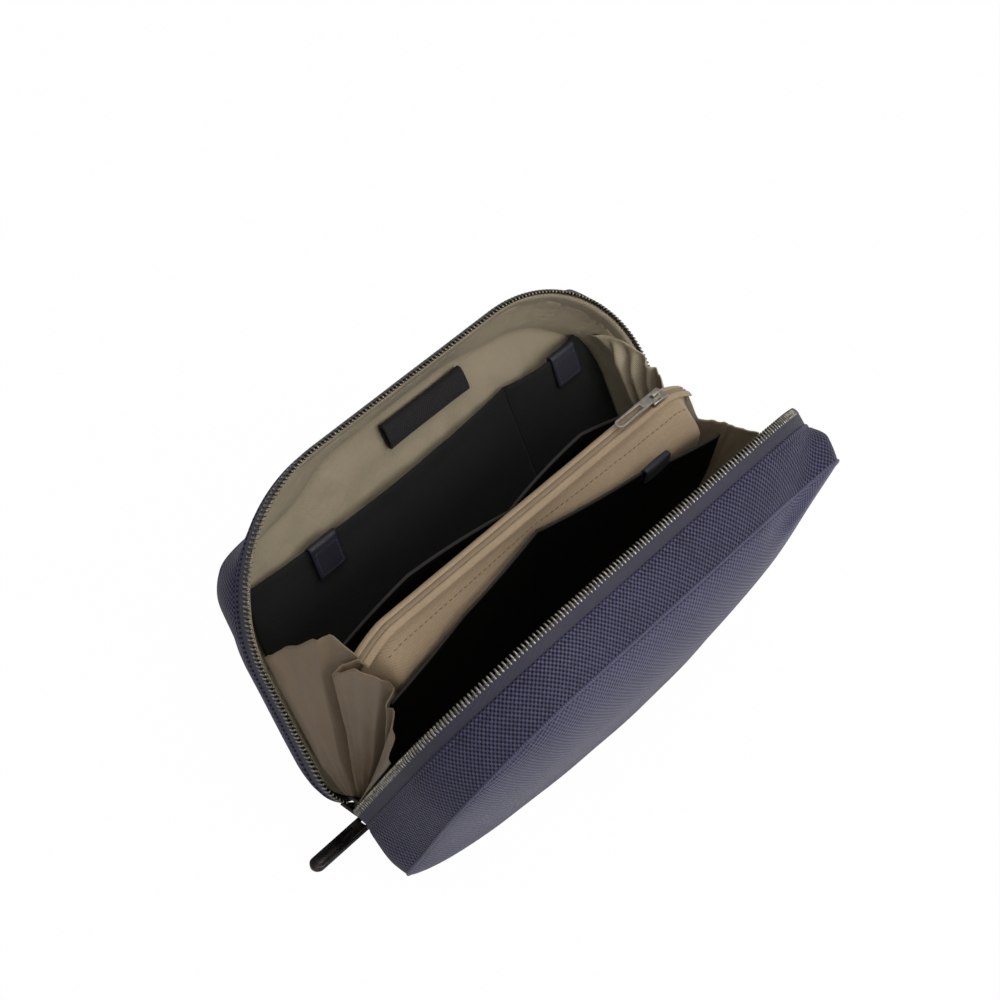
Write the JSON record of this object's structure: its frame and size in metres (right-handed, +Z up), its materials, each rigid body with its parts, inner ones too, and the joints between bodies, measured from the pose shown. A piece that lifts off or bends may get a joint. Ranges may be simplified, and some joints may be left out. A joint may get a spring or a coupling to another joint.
{
  "type": "cable organizer pouch",
  "caption": "Zip-round padded organizer pouch, standing open: hinged half shells, pleated gussets, slip pockets and a zipped divider.",
  "frame": {"origin": "on the floor under the middle of the box, between the two standing edges", "axes": "+X along the pouch, from the main puller to the other end; +Y towards the back half with the pockets; +Z up"},
  "size_m": [0.269, 0.1766, 0.1426],
  "materials": {
    "ballistic": "matte basket weave",
    "navy_tape": "matte twill",
    "lining": "satin plain weave",
    "lining_zip": "matte woven tape and nylon coil",
    "pocket": "matte knit",
    "leather": "smooth",
    "teeth": "antique nickel",
    "black_metal": "gloss black nickel"
  },
  "bodies": {
    "spine": {"hinge_cord": "navy_tape", "divider_rear_wall": "lining", "divider_front_wall": "lining", "divider_zip_tape": "lining_zip", "divider_zip_coil": "lining_zip", "rear_slip_panel": "pocket", "front_slip_panel": "pocket", "front_slip_tab": "leather", "gusset_left_rear": "lining", "gusset_left_front": "lining", "gusset_right_rear": "lining", "gusset_right_front": "lining", "main_slider": "black_metal"},
    "back_half": {"back_panel": "ballistic", "back_band": "ballistic", "back_welt": "navy_tape", "back_zip_tape": "navy_tape", "back_zip_teeth": "teeth", "back_facing": "lining", "back_lining": "lining", "back_hinge_flap": "ballistic", "back_pocket_left": "pocket", "back_pocket_right": "pocket", "pocket_tab_left": "leather", "pocket_tab_right": "leather", "elastic_loop": "pocket", "carry_strap": "navy_tape"},
    "front_half": {"front_panel": "ballistic", "front_band": "ballistic", "front_welt": "navy_tape", "front_zip_tape": "navy_tape", "front_zip_teeth": "teeth", "front_facing": "lining", "front_lining": "lining", "front_hinge_flap": "ballistic"},
    "main_pull": {"main_pull_frame": "black_metal", "main_pull_inlay": "leather"},
    "divider_slider": {"divider_slider": "teeth"},
    "divider_pull": {"divider_pull": "teeth"}
  },
  "joints": [
    {"name": "back_hinge", "type": "hinge", "parent": "spine", "child": "back_half", "pos_m": [0.00902, 0, 0.01595], "axis": [1, 0, 0], "range_deg": [0, 28], "deforming": ["gusset_left_rear", "gusset_right_rear"]},
    {"name": "front_hinge", "type": "hinge", "parent": "spine", "child": "front_half", "pos_m": [0.00902, 0, 0.01595], "axis": [-1, 0, 0], "range_deg": [0, 28], "deforming": ["gusset_left_front", "gusset_right_front"]},
    {"name": "main_pull_swing", "type": "hinge", "parent": "spine", "child": "main_pull", "pos_m": [-0.10002, 0, 0.002], "axis": [0, 1, 0], "range_deg": [0, 45]},
    {"name": "divider_zip_slide", "type": "slide", "parent": "spine", "child": "divider_slider", "axis": [-1, 0, 0], "range_m": [0, 0.16]},
    {"name": "divider_pull_swing", "type": "hinge", "parent": "divider_slider", "child": "divider_pull", "pos_m": [0.09302, 0, 0.1119], "axis": [0, 1, 0], "range_deg": [0, 150]}
  ]
}
